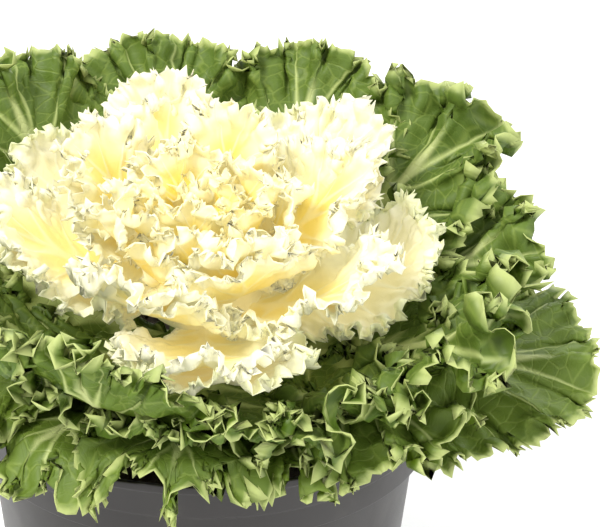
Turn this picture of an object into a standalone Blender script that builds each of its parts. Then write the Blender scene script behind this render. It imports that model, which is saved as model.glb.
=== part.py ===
"""Ornamental kale plant in its round plastic pot.

Metres, +Z up, with the origin in the middle of the pot's underside. The plant grows
along an axis of its own, plant_axis, that stands on the soil and leans to the front.
In the plant's frame a place has a distance out from that axis and a height above the
soil. Each leaf is a waved blade that is thick along its midrib, with its foot sunk
into the stem or into the heart's core.
"""
import math
import random
from dataclasses import dataclass

import bmesh
import bpy
import numpy as np
from mathutils import Matrix

COLLECTION_NAME = "ornamental_kale_plant"
CUTTER_COLLECTION_NAME = "cutters"
CLEARANCE = 0.0003
ROUND_STEPS = 36
SOIL_STEPS = 24
STEM_STEPS = 16
MERGE_DISTANCE = 0.00001

# Pot
POT_HEIGHT = 0.130
POT_RIM_RADIUS = 0.085
POT_BAND_HEIGHT = 0.0225
POT_BAND_FOOT_RADIUS = 0.0815
POT_LIP_HEIGHT = 0.0025
POT_LIP_STEP = 0.0005
POT_BODY_TOP_RADIUS = 0.0768
POT_BASE_RADIUS = 0.067
POT_BASE_CHAMFER = 0.0015
POT_WALL = 0.0018
POT_FLOOR = 0.003
DRAIN_COUNT = 8
DRAIN_RADIUS = 0.005
DRAIN_CIRCLE_RADIUS = 0.048
DRAIN_STEPS = 12

# Soil
SOIL_LEVEL = 0.116
SOIL_CROWN = 0.003

# Plant's axis and stem
LEAN_TO_FRONT = math.radians(15.0)
STEM_ROOT_DEPTH = 0.032
STEM_ROOT_RADIUS = 0.010
STEM_RADIUS = 0.0125
STEM_TOP = 0.036

# The bowl that the green leaves leave free for the heart, in the plant's frame
BOWL_RADIUS = 0.084
BOWL_DEPTH = 0.052
BOWL_MIDDLE_HEIGHT = 0.088
BOWL_INSIDE = 0.965
BOWL_OUTSIDE = 1.035
BOWL_SOFTNESS = 0.032

# Overlapping neighbours lie in two layers
LAYER_SHARE = 0.05
LAYER_GAP = 0.0035

# The room that the green leaves leave over the pot's rim
RIM_CLEAR_RADIUS = 0.088
RIM_CLEAR_HEIGHT = POT_HEIGHT + 0.0075
RIM_FALL = 1.15
RIM_SOFTNESS = 0.002

# Blade
BLADE_THICKNESS = 0.0009
RIB_THICKNESS = 0.0052
CREAM_RIB_THICKNESS = 0.0040
RIB_TIP_SHARE = 0.25
PETIOLE_START = 0.84
BLADE_SWEEP = math.radians(160.0)
PETIOLE_HALF_WIDTH = 0.0038
PETIOLE_TAPER = 0.7
RIB_REACH = 0.62
RIB_BUNCHING = 1.3
WAVE_GROWTH = 1.8
WAVE_FADE = 0.22
WAVE_FADE_BEFORE_PETIOLE = 0.18
WAVE_SWELL = 0.3
WAVE_SWELL_RATE = 7.0
LOBE_DEPTH = 0.08
LOBE_RATE = 5.0
BEND_STATIONS = (0.0, 0.5, 1.0)
BEND_STEPS = 60
LEAF_FOOT_DISTANCE = 0.003

# Green leaves
GREEN_COLUMNS = 18
GREEN_ROWS = (0.0, 0.62, 1.0)
GREEN_WAVES = GREEN_COLUMNS // 2
GREEN_WAVE_HEIGHT = 0.0065
UPPER_CUP = 9.0
LOWER_CUP = -5.0
UPPER_FOOT_HEIGHT = 0.022
LOWER_FOOT_HEIGHT = 0.008
FOOT_STAGGER = 0.007
UPPER_PETIOLE = 0.034

# Heart
HEART_LEAVES = 24
HEART_COLUMNS = 14
HEART_ROWS = (0.0, 0.66, 1.0)
HEART_WAVES = HEART_COLUMNS // 2
GOLDEN_ANGLE = math.radians(137.508)
HEART_FOOT_HEIGHT = STEM_TOP + CLEARANCE
HEART_FOOT_SINK = 0.004
HEART_FOOT_CLIMB = 0.013
HEART_OUTER_REACH = 0.098
HEART_REACH_FALL = 0.070
HEART_REACH_BUNCHING = 0.85
HEART_PETIOLE_SHARE = 0.22
HEART_OUTER_WIDTH = 0.064
HEART_WIDTH_FALL = 0.038
HEART_OUTER_FOOT_SLOPE = 4.0
HEART_FOOT_SLOPE_RISE = 74.0
HEART_OUTER_TIP_SLOPE = 40.0
HEART_TIP_SLOPE_RISE = 54.0
HEART_TIP_BUNCHING = 0.7
HEART_MIDDLE_SHARE = 0.4
HEART_TURN_SPREAD = 0.08
HEART_OUTER_CUP = 14.0
HEART_CUP_RISE = 16.0
HEART_OUTER_WAVE = 0.0032
HEART_WAVE_FALL = 0.0012
PLANT_SEED = 29

# Plain colours
POT_COLOUR = (0.075, 0.068, 0.064, 1.0)
SOIL_COLOUR = (0.035, 0.022, 0.015, 1.0)
GREEN_COLOUR = (0.13, 0.24, 0.07, 1.0)
CREAM_COLOUR = (0.92, 0.86, 0.55, 1.0)


@dataclass
class Leaf:
    """One leaf: angles in radians, lengths in metres, rise as three slopes from foot to tip."""

    azimuth: float
    foot_height: float
    petiole: float
    blade: float
    width: float
    rise: tuple
    cup: float
    wave_height: float
    waves: int
    phase: float = 0.0
    layer: int = 0


def start_scene():
    """Removes what the scene holds and makes the part's collections."""
    for item in list(bpy.data.objects):
        bpy.data.objects.remove(item, do_unlink=True)
    parts = bpy.data.collections.new(COLLECTION_NAME)
    cutters = bpy.data.collections.new(CUTTER_COLLECTION_NAME)
    for collection in (parts, cutters):
        bpy.context.scene.collection.children.link(collection)
    return parts, cutters


def make_material(name, colour, roughness):
    """Makes a plain Principled material."""
    material = bpy.data.materials.new(name)
    material.use_nodes = True
    shader = material.node_tree.nodes["Principled BSDF"]
    shader.inputs["Base Color"].default_value = colour
    shader.inputs["Roughness"].default_value = roughness
    shader.inputs["Metallic"].default_value = 0.0
    return material


def add_object(name, mesh, collection, material=None, parent=None):
    """Links a mesh as a named object."""
    item = bpy.data.objects.new(name, mesh)
    collection.objects.link(item)
    item.parent = parent
    if material is not None:
        mesh.materials.append(material)
    return item


def profile_mesh(name, points):
    """Makes an open profile of edges in the XZ plane."""
    mesh = bpy.data.meshes.new(name)
    places = [(radius, 0.0, height) for radius, height in points]
    edges = [(index, index + 1) for index in range(len(points) - 1)]
    mesh.from_pydata(places, edges, [])
    return mesh


def turn(item, steps=ROUND_STEPS):
    """Turns a profile about Z into a closed solid."""
    screw = item.modifiers.new("turned", "SCREW")
    screw.steps = steps
    screw.render_steps = steps
    screw.use_merge_vertices = True
    screw.merge_threshold = MERGE_DISTANCE
    screw.use_normal_calculate = True


def apply_modifiers(item):
    """Replaces an object's mesh by its evaluated mesh."""
    graph = bpy.context.evaluated_depsgraph_get()
    mesh = bpy.data.meshes.new_from_object(item.evaluated_get(graph))
    item.modifiers.clear()
    item.data = mesh


def pot_outside(height):
    """The pot body's outer radius at a height below the band."""
    share = height / (POT_HEIGHT - POT_BAND_HEIGHT)
    return POT_BASE_RADIUS + (POT_BODY_TOP_RADIUS - POT_BASE_RADIUS) * share


def pot_profile():
    """From the floor's middle up the inner side, over the rim and down the outer side."""
    band_foot = POT_HEIGHT - POT_BAND_HEIGHT
    lip_foot = POT_HEIGHT - POT_LIP_HEIGHT
    inner_step = band_foot + POT_WALL
    return [
        (0.0, POT_FLOOR),
        (pot_outside(POT_FLOOR) - POT_WALL, POT_FLOOR),
        (POT_BODY_TOP_RADIUS - POT_WALL, band_foot),
        (POT_BAND_FOOT_RADIUS - POT_WALL, inner_step),
        (POT_RIM_RADIUS - POT_WALL, POT_HEIGHT),
        (POT_RIM_RADIUS, POT_HEIGHT),
        (POT_RIM_RADIUS, lip_foot),
        (POT_RIM_RADIUS - POT_LIP_STEP, lip_foot - POT_LIP_STEP),
        (POT_BAND_FOOT_RADIUS, band_foot),
        (POT_BODY_TOP_RADIUS, band_foot - POT_LIP_STEP),
        (POT_BASE_RADIUS, POT_BASE_CHAMFER),
        (POT_BASE_RADIUS - POT_BASE_CHAMFER, 0.0),
        (0.0, 0.0),
    ]


def make_drain_cutters(collection):
    """Plain pins where the pot's floor is pierced, on a circle round a solid middle."""
    for index in range(DRAIN_COUNT):
        angle = 2.0 * math.pi * index / DRAIN_COUNT
        x = DRAIN_CIRCLE_RADIUS * math.cos(angle)
        y = DRAIN_CIRCLE_RADIUS * math.sin(angle)
        place = Matrix.Translation((x, y, POT_FLOOR / 2.0))
        shape = bmesh.new()
        bmesh.ops.create_cone(
            shape, cap_ends=True, segments=DRAIN_STEPS, radius1=DRAIN_RADIUS, radius2=DRAIN_RADIUS,
            depth=POT_FLOOR * 3.0, matrix=place)
        mesh = bpy.data.meshes.new("drain_cutter")
        shape.to_mesh(mesh)
        shape.free()
        pin = add_object("drain_cutter_%d" % index, mesh, collection)
        pin.hide_render = True
        pin.display_type = "WIRE"


def make_pot(parts, cutters):
    """The pot: tapered wall, stepped rim band and drain holes."""
    plastic = make_material("pot_plastic", POT_COLOUR, 0.45)
    pot = add_object("pot", profile_mesh("pot", pot_profile()), parts, plastic)
    turn(pot)
    make_drain_cutters(cutters)
    cut = pot.modifiers.new("drain_holes", "BOOLEAN")
    cut.operation = "DIFFERENCE"
    cut.operand_type = "COLLECTION"
    cut.collection = cutters
    apply_modifiers(pot)
    pot.data.shade_smooth()
    pot.data.set_sharp_from_angle(angle=math.radians(30.0))
    return pot


def soil_profile():
    """The pot's inside, less the clearance, with a slightly crowned top."""
    band_foot = POT_HEIGHT - POT_BAND_HEIGHT
    inner_step = band_foot + POT_WALL
    step_radius = POT_BAND_FOOT_RADIUS - POT_WALL
    rise = (SOIL_LEVEL - inner_step) / (POT_HEIGHT - inner_step)
    top_radius = step_radius + (POT_RIM_RADIUS - POT_BAND_FOOT_RADIUS) * rise
    floor = POT_FLOOR + CLEARANCE
    return [
        (0.0, SOIL_LEVEL + SOIL_CROWN),
        (top_radius * 0.6, SOIL_LEVEL + SOIL_CROWN * 0.6),
        (top_radius - CLEARANCE * 2.0, SOIL_LEVEL),
        (step_radius - CLEARANCE * 2.0, inner_step + CLEARANCE),
        (POT_BODY_TOP_RADIUS - POT_WALL - CLEARANCE * 1.5, band_foot + CLEARANCE),
        (pot_outside(floor) - POT_WALL - CLEARANCE * 1.5, floor),
        (0.0, floor),
    ]


def stem_profile(clearance=0.0):
    """The stem from its top down to its root end, grown by a clearance for the hole."""
    return [
        (0.0, STEM_TOP),
        (STEM_RADIUS * 0.9 + clearance, STEM_TOP),
        (STEM_RADIUS + clearance, STEM_TOP * 0.6),
        (STEM_RADIUS + clearance, 0.0),
        (STEM_ROOT_RADIUS + clearance, -STEM_ROOT_DEPTH - clearance),
        (0.0, -STEM_ROOT_DEPTH - clearance),
    ]


def make_soil(parts, cutters, axis):
    """The potting soil, with the plain hole that the stem stands in."""
    earth = make_material("soil", SOIL_COLOUR, 0.95)
    soil = add_object("potting_soil", profile_mesh("soil", soil_profile()), parts, earth)
    turn(soil, SOIL_STEPS)
    outline = profile_mesh("stem_hole", stem_profile(CLEARANCE))
    hole = add_object("stem_hole_cutter", outline, cutters, None, axis)
    turn(hole, STEM_STEPS)
    hole.hide_render = True
    hole.display_type = "WIRE"
    cut = soil.modifiers.new("stem_hole", "BOOLEAN")
    cut.operation = "DIFFERENCE"
    cut.object = hole
    apply_modifiers(soil)
    return soil


def plant_matrix():
    """The plant's frame: it stands on the soil and leans to the front."""
    return Matrix.Translation((0.0, 0.0, SOIL_LEVEL)) @ Matrix.Rotation(LEAN_TO_FRONT, 4, "X")


def make_axis(parts):
    """An empty that carries the plant."""
    axis = bpy.data.objects.new("plant_axis", None)
    parts.objects.link(axis)
    axis.matrix_world = plant_matrix()
    return axis


def ease(share):
    """A smooth step from 0 to 1."""
    share = np.clip(share, 0.0, 1.0)
    return share * share * (3.0 - 2.0 * share)


def flat_blade(leaf, around, outward):
    """The flat blade: around runs from -1 to 1 round the margin with the tip at 0,
    outward from 0 on the midrib to 1 on the margin."""
    share = np.abs(around)
    sweep = np.minimum(share / PETIOLE_START, 1.0) * BLADE_SWEEP
    down = np.clip((share - PETIOLE_START) / (1.0 - PETIOLE_START), 0.0, 1.0)
    margin_x = 0.5 * leaf.width * np.sin(sweep)
    margin_x = margin_x + (PETIOLE_HALF_WIDTH - margin_x) * ease(down ** PETIOLE_TAPER)
    margin_y = (leaf.petiole + leaf.blade * 0.5 * (1.0 + np.cos(sweep))) * (1.0 - down)
    rib_y = (leaf.petiole + RIB_REACH * leaf.blade) * (1.0 - share ** RIB_BUNCHING)
    x = np.sign(around) * margin_x * outward
    y = rib_y + (margin_y - rib_y) * outward
    return x, y


def wave_of(leaf, around, outward):
    """How far the waved margin stands off the blade; waves counts them round the margin."""
    share = np.abs(around)
    fade = 1.0 - ease((share - PETIOLE_START + WAVE_FADE_BEFORE_PETIOLE) / WAVE_FADE)
    swell = 1.0 + WAVE_SWELL * np.sin(WAVE_SWELL_RATE * around + leaf.phase)
    height = leaf.wave_height * swell * fade * outward ** WAVE_GROWTH
    return height * np.cos(math.pi * leaf.waves * around)


def bend_blade(leaf, x, y, wave):
    """Bends the flat blade along its midrib and cups it across, and turns it to its azimuth."""
    length = leaf.petiole + leaf.blade * 1.1
    stations = np.linspace(0.0, length, BEND_STEPS)
    slope = np.interp(stations / length, BEND_STATIONS, leaf.rise)
    step = stations[1]
    out = np.concatenate(([0.0], np.cumsum(np.cos(slope[:-1]) * step)))
    up = np.concatenate(([0.0], np.cumsum(np.sin(slope[:-1]) * step)))
    here = np.interp(y, stations, slope)
    turned = leaf.cup * x
    across = np.sin(turned) / leaf.cup - wave * np.sin(turned)
    lift = (1.0 - np.cos(turned)) / leaf.cup + wave * np.cos(turned)
    distance = LEAF_FOOT_DISTANCE + np.interp(y, stations, out) - lift * np.sin(here)
    height = leaf.foot_height + np.interp(y, stations, up) + lift * np.cos(here)
    cosine = math.cos(leaf.azimuth)
    sine = math.sin(leaf.azimuth)
    x = distance * cosine - across * sine
    y = distance * sine + across * cosine
    return np.stack((x, y, height), axis=-1)


def soft_floor(value, lowest, softness):
    """Lifts a value over a lowest one, smoothly."""
    return lowest + softness * np.logaddexp(0.0, (value - lowest) / softness)


def bowl_share(places):
    """The bowl's middle, each place's offset from it, and how far out the place lies:
    1 on the bowl itself."""
    middle = np.array((0.0, 0.0, BOWL_MIDDLE_HEIGHT))
    offset = places - middle
    drop = np.minimum(offset[..., 2], 0.0)
    radius = np.hypot(offset[..., 0], offset[..., 1])
    return middle, offset, np.hypot(radius / BOWL_RADIUS, drop / BOWL_DEPTH)


def scale_in_bowl(middle, offset, factor):
    """Moves places towards or away from the bowl's middle; above it they only move sideways."""
    moved = offset * factor[..., None]
    moved[..., 2] = np.where(offset[..., 2] > 0.0, offset[..., 2], moved[..., 2])
    return middle + moved


def keep_in_bowl(places, leaf):
    """Keeps a heart's leaf inside the bowl."""
    middle, offset, share = bowl_share(places)
    share = np.maximum(share, 1e-6)
    wanted = -soft_floor(-share, LAYER_SHARE * leaf.layer - BOWL_INSIDE, BOWL_SOFTNESS)
    return scale_in_bowl(middle, offset, np.minimum(wanted / share, 1.0))


def keep_out_of_bowl(places, leaf):
    """Keeps a green leaf outside the bowl."""
    middle, offset, share = bowl_share(places)
    share = np.maximum(share, 1e-6)
    wanted = soft_floor(share, BOWL_OUTSIDE + LAYER_SHARE * leaf.layer, BOWL_SOFTNESS)
    return scale_in_bowl(middle, offset, np.maximum(wanted / share, 1.0))


def keep_over_rim(places, leaf):
    """Keeps a green leaf above the pot's rim, and outside it where the leaf hangs lower."""
    matrix = np.array(plant_matrix())
    world = places @ matrix[:3, :3].T + matrix[:3, 3]
    radius = np.hypot(world[..., 0], world[..., 1])
    lowest = RIM_CLEAR_HEIGHT - RIM_FALL * np.maximum(radius - RIM_CLEAR_RADIUS, 0.0)
    lowest = lowest + LAYER_GAP * leaf.layer
    world[..., 2] = soft_floor(world[..., 2], lowest, RIM_SOFTNESS)
    return (world - matrix[:3, 3]) @ matrix[:3, :3]


def blade_faces(columns, rows):
    """Faces of the fan of columns; the two sides share the midrib and are split alike."""
    half = columns // 2

    def vertex(column, row):
        if row == 0:
            return abs(column)
        return half + 1 + (row - 1) * (columns + 1) + half + column

    faces = []
    for column in range(-half, half):
        for row in range(rows - 1):
            first = vertex(column, row)
            second = vertex(column, row + 1)
            third = vertex(column + 1, row + 1)
            fourth = vertex(column + 1, row)
            faces.append((first, second, third))
            faces.append((first, third, fourth))
    return faces


def blade_mesh(name, leaf, columns, rows, shaping):
    """The leaf's middle surface, with the share of the rib's thickness at each vertex."""
    half = columns // 2
    midrib = np.arange(0, half + 1) / half
    fan = np.tile(np.arange(-half, half + 1) / half, len(rows) - 1)
    around = np.concatenate((midrib, fan))
    outward = np.concatenate((np.zeros(half + 1), np.repeat(np.array(rows[1:]), columns + 1)))
    x, y = flat_blade(leaf, around, outward)
    x = x * (1.0 + LOBE_DEPTH * np.cos(LOBE_RATE * math.pi * around + leaf.phase) * outward)
    places = bend_blade(leaf, x, y, wave_of(leaf, around, outward))
    for shape in shaping:
        places = shape(places, leaf)
    mesh = bpy.data.meshes.new(name)
    mesh.from_pydata(places.tolist(), [], blade_faces(columns, len(rows)))
    thin = BLADE_THICKNESS / RIB_THICKNESS
    along = np.clip(y / (leaf.petiole + RIB_REACH * leaf.blade), 0.0, 1.0)
    rib = RIB_TIP_SHARE + (1.0 - RIB_TIP_SHARE) * (1.0 - along) ** 2
    thick = np.where(outward == 0.0, rib, thin)
    return mesh, thick


def add_leaf(name, leaf, columns, rows, rib_thickness, shaping, collection, parent):
    """A closed leaf: the blade's surface, thickened most along its midrib."""
    mesh, thick = blade_mesh(name, leaf, columns, rows, shaping)
    item = add_object(name, mesh, collection, None, parent)
    group = item.vertex_groups.new(name="thickness")
    for index, weight in enumerate(thick):
        group.add([index], float(weight), "REPLACE")
    shell = item.modifiers.new("thickened", "SOLIDIFY")
    shell.thickness = rib_thickness
    shell.offset = 0.0
    shell.vertex_group = group.name
    shell.thickness_vertex_group = 0.0
    return item


def green_leaves():
    """The green leaves, front ones by what shows, the rest by the same spacing.

    Upper leaves rise round the heart; lower ones spread and hang over the rim."""
    random.seed(PLANT_SEED)
    upper = [
        # azimuth, blade, width, rise at foot, middle and tip in degrees, strength of the frill
        (101, 0.094, 0.080, (12, 34, 54), 0.80),
        (136, 0.092, 0.080, (12, 34, 52), 0.80),
        (65, 0.094, 0.080, (12, 32, 52), 0.80),
        (33, 0.092, 0.078, (12, 27, 42), 1.10),
        (4, 0.086, 0.076, (12, 27, 38), 1.20),
        (-27, 0.078, 0.072, (12, 25, 38), 1.20),
        (-58, 0.064, 0.066, (12, 27, 46), 1.20),
        (-86, 0.054, 0.062, (12, 27, 50), 1.10),
        (-115, 0.070, 0.070, (14, 42, 84), 1.10),
        (-148, 0.080, 0.074, (14, 35, 62), 1.10),
        (172, 0.088, 0.078, (12, 34, 56), 1.00),
    ]
    lower = [
        # azimuth, petiole, blade, width, rise in degrees, height of the waves
        (-11, 0.042, 0.092, 0.092, (18, 14, 4), 0.0030),
        (-38, 0.036, 0.080, 0.076, (22, 12, -20), 0.0060),
        (-65, 0.033, 0.068, 0.070, (27, 14, -40), 0.0060),
        (-96, 0.032, 0.066, 0.070, (28, 14, -42), 0.0060),
        (-129, 0.034, 0.070, 0.072, (27, 12, -40), 0.0060),
        (-165, 0.040, 0.086, 0.080, (22, 12, -18), 0.0055),
        (152, 0.044, 0.088, 0.082, (14, 11, -2), 0.0050),
        (112, 0.044, 0.088, 0.082, (10, 10, 4), 0.0050),
        (70, 0.044, 0.088, 0.082, (10, 11, 6), 0.0050),
        (27, 0.044, 0.088, 0.078, (12, 9, -4), 0.0050),
    ]
    leaves = []
    for index, (azimuth, blade, width, rise, frill) in enumerate(upper):
        layer = index % 2
        leaves.append(Leaf(
            azimuth=math.radians(azimuth),
            foot_height=UPPER_FOOT_HEIGHT + FOOT_STAGGER * layer,
            petiole=UPPER_PETIOLE,
            blade=blade,
            width=width,
            rise=tuple(math.radians(angle) for angle in rise),
            cup=UPPER_CUP,
            wave_height=GREEN_WAVE_HEIGHT * frill,
            waves=GREEN_WAVES,
            phase=random.uniform(0.0, 2.0 * math.pi),
            layer=layer))
    for index, (azimuth, petiole, blade, width, rise, wave_height) in enumerate(lower):
        layer = index % 2
        leaves.append(Leaf(
            azimuth=math.radians(azimuth),
            foot_height=LOWER_FOOT_HEIGHT + FOOT_STAGGER * layer,
            petiole=petiole,
            blade=blade,
            width=width,
            rise=tuple(math.radians(angle) for angle in rise),
            cup=LOWER_CUP,
            wave_height=wave_height,
            waves=GREEN_WAVES,
            phase=random.uniform(0.0, 2.0 * math.pi),
            layer=layer))
    return leaves


def heart_leaves():
    """The heart's cream leaves, set on a spiral: the outer ones broad and spreading,
    the inner ones small and upright."""
    random.seed(PLANT_SEED)
    leaves = []
    for index in range(HEART_LEAVES):
        inward = index / (HEART_LEAVES - 1.0)
        reach = HEART_OUTER_REACH - HEART_REACH_FALL * inward ** HEART_REACH_BUNCHING
        foot_slope = HEART_OUTER_FOOT_SLOPE + HEART_FOOT_SLOPE_RISE * inward
        tip_slope = HEART_OUTER_TIP_SLOPE + HEART_TIP_SLOPE_RISE * inward ** HEART_TIP_BUNCHING
        middle_slope = foot_slope + HEART_MIDDLE_SHARE * (tip_slope - foot_slope)
        turned = random.uniform(-HEART_TURN_SPREAD, HEART_TURN_SPREAD)
        leaves.append(Leaf(
            azimuth=index * GOLDEN_ANGLE + turned,
            foot_height=HEART_FOOT_HEIGHT + HEART_FOOT_SINK + HEART_FOOT_CLIMB * inward,
            petiole=reach * HEART_PETIOLE_SHARE,
            blade=reach * (1.0 - HEART_PETIOLE_SHARE),
            width=HEART_OUTER_WIDTH - HEART_WIDTH_FALL * inward,
            rise=(math.radians(foot_slope), math.radians(middle_slope), math.radians(tip_slope)),
            cup=HEART_OUTER_CUP + HEART_CUP_RISE * inward,
            wave_height=HEART_OUTER_WAVE - HEART_WAVE_FALL * inward,
            waves=HEART_WAVES,
            phase=random.uniform(0.0, 2.0 * math.pi)))
    return leaves


def face_groups(shape):
    """The faces of a bmesh in groups that hang together."""
    waiting = set(shape.faces)
    groups = []
    while waiting:
        group = set()
        front = [waiting.pop()]
        while front:
            face = front.pop()
            group.add(face)
            near = {other for edge in face.edges for other in edge.link_faces}
            front.extend(near & waiting)
            waiting -= near
        groups.append(group)
    return groups


def keep_main_body(item):
    """Fills hollows that the union sealed and drops loose scraps."""
    shape = bmesh.new()
    shape.from_mesh(item.data)
    groups = sorted(face_groups(shape), key=len)
    for group in groups[:-1]:
        bmesh.ops.delete(shape, geom=list(group), context="FACES")
    shape.to_mesh(item.data)
    shape.free()


def join_leaves(item, leaves):
    """Unites the leaves with what carries them and removes the separate ones."""
    join = item.modifiers.new("joined", "BOOLEAN")
    join.operation = "UNION"
    join.operand_type = "COLLECTION"
    join.collection = leaves
    join.solver = "MANIFOLD"
    apply_modifiers(item)
    keep_main_body(item)
    for leaf in list(leaves.objects):
        bpy.data.objects.remove(leaf, do_unlink=True)
    bpy.data.collections.remove(leaves)


def make_foliage(parts, axis):
    """The leafy stem: the stem and all green leaves in one body."""
    green = make_material("green_leaf", GREEN_COLOUR, 0.5)
    foliage = add_object("green_foliage", profile_mesh("stem", stem_profile()), parts, green, axis)
    turn(foliage, STEM_STEPS)
    loose = bpy.data.collections.new("loose_green_leaves")
    bpy.context.scene.collection.children.link(loose)
    for index, leaf in enumerate(green_leaves()):
        add_leaf("green_leaf_%02d" % index, leaf, GREEN_COLUMNS, GREEN_ROWS, RIB_THICKNESS,
                 (keep_out_of_bowl, keep_over_rim), loose, axis)
    join_leaves(foliage, loose)
    return foliage


def core_profile():
    """The heart's short core, which the cream leaves stand out of."""
    return [
        (0.0, HEART_FOOT_HEIGHT + 0.036),
        (0.010, HEART_FOOT_HEIGHT + 0.034),
        (0.021, HEART_FOOT_HEIGHT + 0.024),
        (0.024, HEART_FOOT_HEIGHT + 0.014),
        (0.011, HEART_FOOT_HEIGHT),
        (0.0, HEART_FOOT_HEIGHT),
    ]


def make_heart(parts, axis):
    """The cream heart: its core and its leaves in one body."""
    cream = make_material("cream_leaf", CREAM_COLOUR, 0.45)
    heart = add_object("cream_heart", profile_mesh("core", core_profile()), parts, cream, axis)
    turn(heart, STEM_STEPS)
    loose = bpy.data.collections.new("loose_cream_leaves")
    bpy.context.scene.collection.children.link(loose)
    for index, leaf in enumerate(heart_leaves()):
        add_leaf("cream_leaf_%02d" % index, leaf, HEART_COLUMNS, HEART_ROWS, CREAM_RIB_THICKNESS,
                 (keep_in_bowl,), loose, axis)
    join_leaves(heart, loose)
    return heart


def main():
    """Builds the pot, its soil and the plant."""
    parts, cutters = start_scene()
    make_pot(parts, cutters)
    axis = make_axis(parts)
    bpy.context.view_layer.update()
    make_soil(parts, cutters, axis)
    make_foliage(parts, axis)
    make_heart(parts, axis)


main()
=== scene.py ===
"""Looks of the ornamental kale plant in its pot: fine leaves, materials, light and camera.

Metres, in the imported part's frame. Leaves are made from the same rule as the solids:
a flat blade is waved, bent along its midrib and kept off the heart and the pot. Here
each blade has a finer grid, creases, two more orders of frill, teeth, ribs and veins.
"""
import math
import random
from dataclasses import dataclass

import bmesh
import bpy
import numpy as np
from mathutils import Matrix, Vector, noise


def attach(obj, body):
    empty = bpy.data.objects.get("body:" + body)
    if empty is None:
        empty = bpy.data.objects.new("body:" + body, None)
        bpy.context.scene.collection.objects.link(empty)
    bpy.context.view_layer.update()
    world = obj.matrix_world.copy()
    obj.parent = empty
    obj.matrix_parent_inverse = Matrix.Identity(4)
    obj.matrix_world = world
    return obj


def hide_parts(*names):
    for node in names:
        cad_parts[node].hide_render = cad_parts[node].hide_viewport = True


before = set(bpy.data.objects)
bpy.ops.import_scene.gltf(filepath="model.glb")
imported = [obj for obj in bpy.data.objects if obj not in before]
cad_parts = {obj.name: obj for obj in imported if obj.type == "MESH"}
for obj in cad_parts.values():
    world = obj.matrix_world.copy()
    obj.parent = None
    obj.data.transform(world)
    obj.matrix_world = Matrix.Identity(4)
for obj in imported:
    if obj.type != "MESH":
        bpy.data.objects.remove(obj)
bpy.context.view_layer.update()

# Camera, from the rim's ellipse and the perspective of the photograph
CAMERA_TARGET_HEIGHT = 0.168
CAMERA_DISTANCE = 0.600
CAMERA_ELEVATION = math.radians(24.5)
CAMERA_LENS = 103.8
CAMERA_SENSOR = 36.0
CAMERA_SHIFT_X = 0.162

# Light and floor
WORLD_STRENGTH = 0.85
KEY_WATTS = 26.0
FILL_WATTS = 8.0
BACK_WATTS = 10.0
LIGHT_TARGET_HEIGHT = 0.15
FLOOR_HALF_SIDE = 6.0

# Pot
POT_HEIGHT = 0.130
POT_RIM_RADIUS = 0.085
POT_BAND_HEIGHT = 0.0225
POT_BAND_FOOT_RADIUS = 0.0815
POT_LIP_HEIGHT = 0.0025
POT_LIP_STEP = 0.0005
POT_GROOVE_SHARE = 0.42
POT_EDGE_ROUNDING = 0.0006
POT_SHARP_ANGLE = math.radians(40.0)
POT_BODY_TOP_RADIUS = 0.0768
POT_BASE_RADIUS = 0.067
POT_BASE_CHAMFER = 0.0015
POT_WALL = 0.0018
POT_FLOOR = 0.003
DRAIN_COUNT = 8
DRAIN_RADIUS = 0.005
DRAIN_CIRCLE_RADIUS = 0.048
DRAIN_STEPS = 24
POT_STEPS = 160
LONGEST_ROUNDING = 0.45
ROUNDING_STEPS = 4

# Soil and stem
SOIL_LEVEL = 0.116
SOIL_CROWN = 0.003
CLEARANCE = 0.0003
LEAN_TO_FRONT = math.radians(15.0)
STEM_ROOT_DEPTH = 0.032
STEM_ROOT_RADIUS = 0.010
STEM_RADIUS = 0.0125
STEM_TOP = 0.036
STEM_STEPS = 48

# The heart's bowl and the room over the pot's rim
BOWL_RADIUS = 0.084
BOWL_DEPTH = 0.052
BOWL_MIDDLE_HEIGHT = 0.088
BOWL_INSIDE = 0.965
BOWL_OUTSIDE = 1.035
BOWL_SOFTNESS = 0.032
LAYER_SHARE = 0.05
LAYER_GAP = 0.0035
RIM_CLEAR_RADIUS = 0.088
RIM_CLEAR_HEIGHT = POT_HEIGHT + 0.0075
RIM_FALL = 1.15
RIM_SOFTNESS = 0.002

# Blade, as in the solids
PETIOLE_START = 0.84
BLADE_SWEEP = math.radians(160.0)
PETIOLE_HALF_WIDTH = 0.0038
PETIOLE_TAPER = 0.7
RIB_REACH = 0.62
RIB_BUNCHING = 1.3
WAVE_GROWTH = 1.8
WAVE_FADE = 0.22
WAVE_FADE_BEFORE_PETIOLE = 0.18
WAVE_SWELL = 0.3
WAVE_SWELL_RATE = 7.0
LOBE_DEPTH = 0.08
LOBE_RATE = 5.0
BEND_STATIONS = (0.0, 0.5, 1.0)
BEND_STEPS = 240
BEND_REACH = 1.1
LEAF_FOOT_DISTANCE = 0.003

# Green leaves: an upper whorl round the heart and a lower one that spreads
GREEN_WAVES = 9
GREEN_WAVE_HEIGHT = 0.0065
LOWER_FULL_WAVE = 0.0060
UPPER_FOOT_HEIGHT = 0.022
LOWER_FOOT_HEIGHT = 0.008
FOOT_STAGGER = 0.007
UPPER_PETIOLE = 0.034
UPPER_CUP = 9.0
LOWER_CUP = -5.0
UPPER_TINT = 0.15
UPPER_TINT_STEP = 0.09
LOWER_TINT = 0.62
LOWER_TINT_STEP = 0.12
TINTS = 3

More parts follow.
